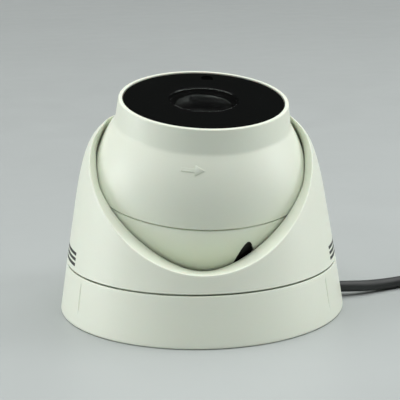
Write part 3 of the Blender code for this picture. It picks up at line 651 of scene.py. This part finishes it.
def build_base(looks):
    wall_in = base_radius(FLOOR_T) - BASE_WALL
    edge = BASE_H - 0.6
    wall_steps = 14
    wall = [(base_radius(z), z) for z in (1.2 + (edge - 1.2) * i / wall_steps for i in range(wall_steps + 1))]
    outline = fillet([
        (CABLE_HOLE_R, 0.0, 0.3), (BASE_R, 0.0, 0.5), *wall, (BASE_TOP_R - 0.05, BASE_H - 0.06, 0.2),
        (BASE_TOP_R - 0.45, BASE_H - 0.04, 0.1), (BASE_TOP_R - 0.6, BASE_H - 1.0, 0.1),
        (BASE_TOP_R - BASE_WALL, BASE_H - 1.0, 0.2), (wall_in, FLOOR_T, 0.8), (SEAT_R1, FLOOR_T, 0.6),
        (SEAT_R1, 14.2, 0.2), (SEAT_R0, 14.2, 0.2), (SEAT_R0, FLOOR_T, 0.6), (CABLE_HOLE_R, FLOOR_T, 0.3)])
    azimuths = set(even(240))
    for groove in GROOVE_AZIMUTHS:
        azimuths.update((groove + 0.09 * k) % 360.0 for k in range(-8, 9))
    cup = turned("base_cup", outline, shape=groove_shape, azimuths=sorted(azimuths))

    fixings = [polar(FIXING_CIRCLE_R, 30 + 120 * k) for k in range(3)]
    bosses = [polar(FIXING_CIRCLE_R, 90 + 120 * k) for k in range(3)]
    carve(cup, ("DIFFERENCE", arched_block("outlet_tool", 42.0, 60.0, 8.6, -1.0, 7.6)),
          ("DIFFERENCE", rods("fixing_tool", 2.2, -2.0, 6.0, fixings)),
          ("UNION", rods("boss_tool", 3.0, 1.0, 16.6, bosses)),
          ("DIFFERENCE", rods("pilot_tool", 1.6, 6.0, 30.0, bosses)))
    place_piece(cup, "base", looks["white_plastic"], "white_plastic", "mounting_base")

    grommet = arched_block("outlet_grommet", 50.6, base_radius(CABLE_Z) - 0.25, 8.0, 0.25, 7.3)
    flat = Matrix.Translation((0.0, 0.0, CABLE_Z)) @ Matrix.Rotation(math.radians(OUTLET_AZIMUTH), 4, "Z")
    bore = rods("grommet_tool", CABLE_R + 0.08, 48.0, 58.0, [(0.0, 0.0)],
                flat @ Matrix.Rotation(math.pi / 2, 4, "Y"))
    carve(grommet, ("DIFFERENCE", bore))
    place_piece(grommet, "base", looks["black_rubber"], "black_rubber", "cable_grommet")


# ---------------------------------------------------------------- housing

def housing_radius(z):
    """Outer radius of the housing: a drafted wall that rounds over towards the hood's edge."""
    s = max(0.0, (z - 44.0) / 28.0)
    return BASE_TOP_R - WALL_SLOPE * (z - BASE_H) - 2.6 * s ** 2 - 4.0 * s ** 6


def opening_height(y):
    """Height of the opening's edge: the slanted cut, eased into the level crest behind it."""
    ease = 1.2
    cut = CUT_Z + CUT_SLOPE * y
    low = min(cut, CREST_Z)
    return low - ease * math.log1p(math.exp(-abs(cut - CREST_Z) / ease))


def edge_point(azimuth, inset, drop):
    """Where a ray at this azimuth meets the opening's edge, this far inside the outer wall."""
    low, high = 20.0, CREST_Z
    for _ in range(40):
        z = 0.5 * (low + high)
        y = (housing_radius(z) - inset) * math.sin(azimuth - REST_PAN)
        if z < opening_height(y) - drop:
            low = z
        else:
            high = z
    return housing_radius(z) - inset, z


def lip_height(azimuth):
    """Height of the funnel's inner edge: low in front, steep at the sides, almost level behind."""
    side = math.cos(azimuth - REST_PAN) ** 2
    behind = math.sin(azimuth - REST_PAN)
    rise = LIP_SIDE_RISE * smooth_step(side, 0.8, 1.0)
    if behind < 0.0:
        return LIP_Z + (LIP_SIDE_Z - LIP_Z) * (0.85 * side + 0.15 * side ** 2) + rise
    return LIP_SIDE_Z + LIP_SIDE_RISE + 7.2 * smooth_step(behind, 0.0, 0.32) + 1.8 * behind ** 2


def around_ball(z):
    """Radius, at this height, of a sphere that just clears the ball."""
    return math.sqrt((FRONT_R + LIP_GAP) ** 2 - (z - BALL_AT.z) ** 2)


def housing_section(azimuth):
    """Closed (radius, height) outline at one azimuth: the wall, the funnel in to the ball, the foot."""
    outer = edge_point(azimuth, 0.0, 0.0)
    start = HOUSING_Z0 + 0.7
    rows = 22
    top = outer[1] - 1.1
    wall = [(housing_radius(z), z) for z in (start + (top - start) * i / rows for i in range(rows + 1))]

    lip = lip_height(azimuth)
    lip_r = around_ball(lip)
    near = min(0.45, 1.2 / math.hypot(outer[0] - lip_r, outer[1] - lip))
    funnel = []
    for share in (near, 0.5 * near + 0.25, 0.5, 0.75, 0.93):
        z = outer[1] + (lip - outer[1]) * share
        funnel.append((max(outer[0] + (lip_r - outer[0]) * share, around_ball(z) + 0.05), z))
    under = lip - LIP_T
    ring = [(lip_r + 0.1, lip, 0.3), (around_ball(lip - 0.8), lip - 0.8), (around_ball(lip - 1.6), lip - 1.6),
            (around_ball(under), under, 0.2), (max(around_ball(under) + 1.0, 36.3), max(under, 21.0))]

    inner_start = HOUSING_Z0 + 1.6
    inner_top = max(under - 1.2, inner_start + 0.5)
    inner_rows = 12
    back = [(housing_radius(z) - WALL, z)
            for z in (inner_top + (inner_start - inner_top) * i / inner_rows for i in range(inner_rows + 1))]
    bottom_r = housing_radius(HOUSING_Z0)
    foot = [(FOOT_R, 20.0, 0.3), (FOOT_R, 16.6, 0.2), (FLANGE_R, 16.6, 0.2), (FLANGE_R, 14.6, 0.2),
            (49.3, 14.6, 0.2), (49.3, FOOT_Z, 0.2), (bottom_r, FOOT_Z, 0.15)]
    return fillet([*wall, (*outer, 0.6), *funnel, *ring, *back, *foot], guards=False)


def build_housing(looks):
    bm = bmesh.new()
    steps = 288
    loops = []
    for i in range(steps):
        azimuth = math.tau * i / steps
        section = housing_section(azimuth)
        loops.append(add_ring(bm, [(r * math.cos(azimuth), r * math.sin(azimuth), z) for r, z in section]))
    for loop_a, loop_b in zip(loops, loops[1:] + loops[:1]):
        bridge(bm, loop_a, loop_b)
    place_piece(to_object(bm, "housing_cover", 40), "housing", looks["white_plastic"], "white_plastic",
                "housing")


def build_stripes(looks):
    """Three plain printed stripes on each side of the housing."""
    for side, (start, end) in zip(("left", "right"), STRIPES):
        bm = bmesh.new()
        steps = 48
        for row in range(3):
            z0 = STRIPE_Z + STRIPE_STEP * row
            z1 = z0 + STRIPE_HT
            rings = []
            for i in range(steps + 1):
                azimuth = start + (end - start) * i / steps
                ring = [(housing_radius(z) + lift, z) for z, lift in
                        ((z0, -0.1), (z1, -0.1), (z1, 0.03), (z0, 0.03))]
                rings.append([(*polar(r, azimuth), z) for r, z in ring])
            add_loft(bm, rings)
        place_piece(to_object(bm, f"side_stripes_{side}"), "housing", looks["stripe_ink"], "black_plastic")


# ---------------------------------------------------------------- ball

def build_front_shell(looks):
    inner = FRONT_R - SHELL_T
    sphere = sphere_arc(FRONT_R, 91.2, 57.5, 24)
    outline = fillet([
        (FRONT_R - 0.25, -1.0, 0.1), *sphere, (33.2, 24.6, 3.2), (RIM_R, RIM_H, 0.42),
        (WINDOW_R + 0.12, RIM_H, 0.2), (WINDOW_R + 0.1, 30.2), (27.8, 30.2), (27.8, 28.4), (29.6, 27.6),
        (29.6, 24.9), (26.0, 24.9), (26.0, 23.4), *sphere_arc(inner, 52.0, 91.5, 16)], 8)
    shell = turned("ball_front_cover", outline, 256, ON_BALL, sharp=40)
    bosses = [polar(POCKET_AT, azimuth) for azimuth in POCKET_AZIMUTHS]
    carve(shell, ("UNION", rods("boss_tool", 2.9, 2.0, 11.0, bosses, ON_BALL)),
          ("DIFFERENCE", rods("pilot_tool", 1.6, 1.0, 9.0, bosses, ON_BALL)), sharp=40)
    place_piece(shell, "ball", looks["white_plastic"], "white_plastic", "ball_front_shell")


def build_rear_shell(looks):
    top = SPLIT_H - 0.15
    inner = REAR_R - REAR_T
    groove_start, groove_end = 180 - 28.0 + 0.45, 180 - 34.0 - 0.45
    outer_end = 180 - math.degrees(math.asin(5.0 / REAR_R))
    inner_end = 180 - math.degrees(math.asin(5.0 / inner))
    outline = fillet([
        (REAR_R - 0.15, top - 0.2, 0.25), *sphere_arc(REAR_R, 93.2, groove_end, 34),
        *sphere_arc(REAR_R - 2.05, groove_end, groove_start, 4),
        *sphere_arc(REAR_R, groove_start, outer_end, 12),
        *sphere_arc(inner, inner_end, 97.0, 20), (36.4, 1.6), (37.5, 1.6), (37.5, top)])
    shell = turned("ball_rear_cover", outline, 256, ON_BALL, sharp=40)
    spots = [polar(POCKET_AT, azimuth) for azimuth in POCKET_AZIMUTHS]
    bosses = rods("boss_tool", POCKET_R + 1.45, -30.0, top - 0.05, spots, ON_BALL)
    whole = sphere_arc(REAR_R - 0.25, 0.0, 180.0, 61)
    clip = turned("clip_tool", [(0.0, whole[0][1]), *whole[1:-1], (0.0, whole[-1][1])], 128, ON_BALL)
    carve(bosses, ("INTERSECT", clip))
    carve(shell, ("UNION", bosses),
          ("DIFFERENCE", rods("pocket_tool", POCKET_R, -45.0, -6.0, spots, ON_BALL, 64)),
          ("DIFFERENCE", rods("shank_tool", 1.75, -8.0, 4.0, spots, ON_BALL)), sharp=40)
    # the rear shell wears the brighter copy of the white plastic, which is painted bounce light
    place_piece(shell, "ball", looks["rear_white_plastic_painted_bounce"], "white_plastic", "ball_rear_shell")


def on_sphere(azimuth, height, across, along, radius):
    """A point on the ball near a spot, moved across (to the right) and along (towards the window)."""
    lift = math.asin(height / FRONT_R) + along / FRONT_R
    turn = math.radians(azimuth) + across / (FRONT_R * math.cos(lift))
    return (radius * math.cos(lift) * math.cos(turn), radius * math.cos(lift) * math.sin(turn),
            radius * math.sin(lift))


def build_arrow(looks):
    """A small raised arrow on the front of the ball, pointing sideways along its width."""
    shaft, head, reach = 0.6, 1.9, 2.4
    tail, neck, tip = -4.2, 0.6, 4.2
    outline = [(tail, -shaft), (neck, -shaft), (neck, -head), (tip, 0.0), (neck, head), (neck, shaft),
               (tail, shaft)]
    outline = fillet([(x, y, 0.15) for x, y in outline], 3)
    bm = bmesh.new()
    rings = []
    for grow, radius in ((0.12, FRONT_R - 0.3), (0.12, FRONT_R + 0.05), (0.1, FRONT_R + ARROW_PROUD - 0.06),
                         (-0.02, FRONT_R + ARROW_PROUD)):
        scaled = [(x * (1 + grow / 4), y * (1 + grow / reach)) for x, y in outline]
        rings.append([on_sphere(ARROW_AZIMUTH, ARROW_H, x, y, radius) for x, y in scaled])
    add_loft(bm, rings, ON_BALL)
    bmesh.ops.triangulate(bm, faces=[f for f in bm.faces if len(f.verts) > 4])
    place_piece(to_object(bm, "raised_arrow", 50), "ball", looks["white_plastic"], "white_plastic")


# ---------------------------------------------------------------- window and lens

def aperture_outline(grow=0.0):
    """A half-round outline, flat towards the lens."""
    half, foot = 2.3 + grow, -2.0 - grow
    arch = [(half * math.cos(a), (2.9 + grow) * math.sin(a)) for a in
            (math.pi * i / 20 for i in range(21))]
    outline = fillet([(-half, foot, 0.5), (half, foot, 0.5), *arch], 4, guards=False)
    return [(APERTURE_AT[0] + x, APERTURE_AT[1] + y) for x, y in outline]


def build_window(looks):
    outline = fillet([(LENS_WINDOW_R + 0.1, 31.3, 0.1), (WINDOW_R - 0.06, 31.3, 0.1),
                      (WINDOW_R - 0.06, WINDOW_H, 0.3), (LENS_WINDOW_R + 0.1, WINDOW_H, 0.07)])
    panel = turned("front_window", outline, 192, ON_BALL)
    bm = bmesh.new()
    add_loft(bm, [[(x, y, h) for x, y in aperture_outline()] for h in (30.0, 35.0)], ON_BALL)
    carve(panel, ("DIFFERENCE", to_object(bm, "aperture_tool")))
    place_piece(panel, "ball", looks["black_window"], "black_window", "window_panel")

    insert = bmesh.new()
    levels = ((-0.05, 31.4), (-0.05, WINDOW_H - 0.42), (-0.12, WINDOW_H - 0.32), (-0.25, WINDOW_H - 0.28))
    add_loft(insert, [[(x, y, h) for x, y in aperture_outline(grow)] for grow, h in levels], ON_BALL)
    # the insert's near-black look is painted shade of the cavity behind the window
    place_piece(to_object(insert, "sensor_window"), "ball", looks["aperture"], "black_window")

    top = WINDOW_H - 0.06
    edge_r = LENS_WINDOW_R - 0.02
    disc = turned("lens_cover_glass", fillet([(0.0, COVER_LOW), (edge_r, COVER_LOW, 0.04),
                                              (edge_r, top, 0.08), (0.0, top)]), 128, ON_BALL)
    place_piece(disc, "ball", looks["clear_glass"], "clear_glass", "lens_window")


def build_lens(looks):
    hood = turned("lens_hood", fillet([
        (11.0, 22.6), (11.0, 27.0, 0.5), (12.7, 31.2, 0.1), (13.0, 31.5, 0.05), (13.1, 31.5), (13.1, 27.2),
        (11.8, 22.6)]), 128, ON_BALL)
    place_piece(hood, "ball", looks["hood_rubber"], "black_rubber", "lens_shroud")

    ledges = [(9.1, 29.9, 0.15), (8.95, 29.9, 0.1), (8.95, 29.3, 0.1), (8.8, 29.3, 0.1), (8.8, 28.7, 0.1),
              (8.7, 28.7, 0.1), (8.7, 25.4)]
    barrel = turned("lens_tube", fillet([
        (4.8, 10.8, 0.2), (6.0, 10.8, 0.2), (6.0, 18.4), (8.2, 18.4, 0.3), (8.2, 21.2), (10.5, 22.6, 0.4),
        (10.6, 31.2, 0.08), (10.25, 31.2, 0.05), (9.75, 30.75, 0.05), *ledges, (4.8, 25.4)]), 128, ON_BALL)
    place_piece(barrel, "ball", looks["barrel_plastic"], "black_plastic", "lens_barrel")

    dome = [(8.5 * math.sin(a), 26.0 + 2.4 * math.cos(a))
            for a in (math.pi / 2 * i / 14 for i in range(1, 14))]
    front = turned("lens_element_front", [(0.0, 28.4), *dome, (8.5, 25.9), (8.4, 25.75), (0.0, 25.75)], 96,
                   ON_BALL)
    place_piece(front, "ball", looks["lens_coating"], "clear_glass", "lens_front_glass")


# ---------------------------------------------------------------- stage

def floor_look():
    color = (0.390, 0.419, 0.411)
    look = Look("pale_grey_tabletop", color, 0.5, IOR=1.4)
    look.connect("Base Color", look.mix(look.spread(look.noise(260.0, 2.0), 0.0, 1.0), shade(color, 0.985),
                                        shade(color, 1.015)))
    look.connect("Roughness", look.spread(look.noise(30.0, 3.0), 0.44, 0.52))
    look.bump(look.noise(1.4, 4.0), 0.01)
    return look.material


def build_floor():
    bm = bmesh.new()
    half = 6.0
    level = -0.00015
    corners = ((-half, -half), (half, -half), (half, half), (-half, half))
    bm.faces.new([bm.verts.new((x, y, level)) for x, y in corners])
    floor = to_object(bm, "table_top")
    floor.data.materials.append(floor_look())


def softbox(name, location, target, size, power):
    data = bpy.data.lights.new(name, "AREA")
    data.shape = "RECTANGLE"
    data.size, data.size_y = size
    data.energy = power
    light = bpy.data.objects.new(name, data)
    light.location = location
    direction = Vector(target) - Vector(location)
    light.rotation_mode = "QUATERNION"
    light.rotation_quaternion = direction.to_track_quat("-Z", "Y")
    bpy.context.scene.collection.objects.link(light)


def build_lights():
    """Weak softboxes round the object and a low strip on each side; the bright ceiling does the rest."""
    middle = (0.0, 0.0, 0.04)
    softbox("left_softbox", (-0.9, 0.0, 0.45), middle, (0.6, 0.6), 0.85)
    softbox("right_softbox", (0.9, 0.0, 0.45), middle, (0.6, 0.6), 3.3)
    softbox("front_left_softbox", (-0.8, -0.42, 0.42), middle, (0.5, 0.6), 1.25)
    softbox("back_right_softbox", (0.8, 0.7, 0.6), middle, (0.5, 0.5), 1.0)
    softbox("left_strip", (-0.9, 0.0, 0.12), middle, (0.5, 0.2), 2.35)
    softbox("right_strip", (0.9, 0.0, 0.12), middle, (0.5, 0.2), 1.1)


def build_world():
    """A bright ceiling over dark walls, which the window mirrors.

    Each band is a height on the unit sphere and the brightness there; it blends to the next.
    """
    bands = [(0.0, 0.03), (0.40, 0.03), (0.45, 0.012), (0.70, 0.012), (0.85, 2.75), (1.0, 2.75)]
    world = bpy.data.worlds.new("studio")
    bpy.context.scene.world = world
    world.use_nodes = True
    tree = world.node_tree
    where = tree.nodes.new("ShaderNodeTexCoord")
    split = tree.nodes.new("ShaderNodeSeparateXYZ")
    ramp = tree.nodes.new("ShaderNodeValToRGB")
    stops = ramp.color_ramp.elements
    while len(stops) < len(bands):
        stops.new(0.5)
    for stop, (height, brightness) in zip(stops, bands):
        stop.position = height
        stop.color = (brightness, brightness, brightness, 1.0)
    background = tree.nodes["Background"]
    tree.links.new(where.outputs["Generated"], split.inputs[0])
    tree.links.new(split.outputs["Z"], ramp.inputs[0])
    tree.links.new(ramp.outputs[0], background.inputs["Color"])


# ---------------------------------------------------------------- everything


def main():
    looks = build_looks()
    build_camera()
    declare_cord(looks)
    dress_cad_nodes(looks)
    build_base(looks)
    build_housing(looks)
    build_stripes(looks)
    build_front_shell(looks)
    build_rear_shell(looks)
    build_arrow(looks)
    build_window(looks)
    build_lens(looks)
    build_floor()
    build_lights()
    build_world()
    bpy.context.scene.view_settings.view_transform = "Standard"


main()
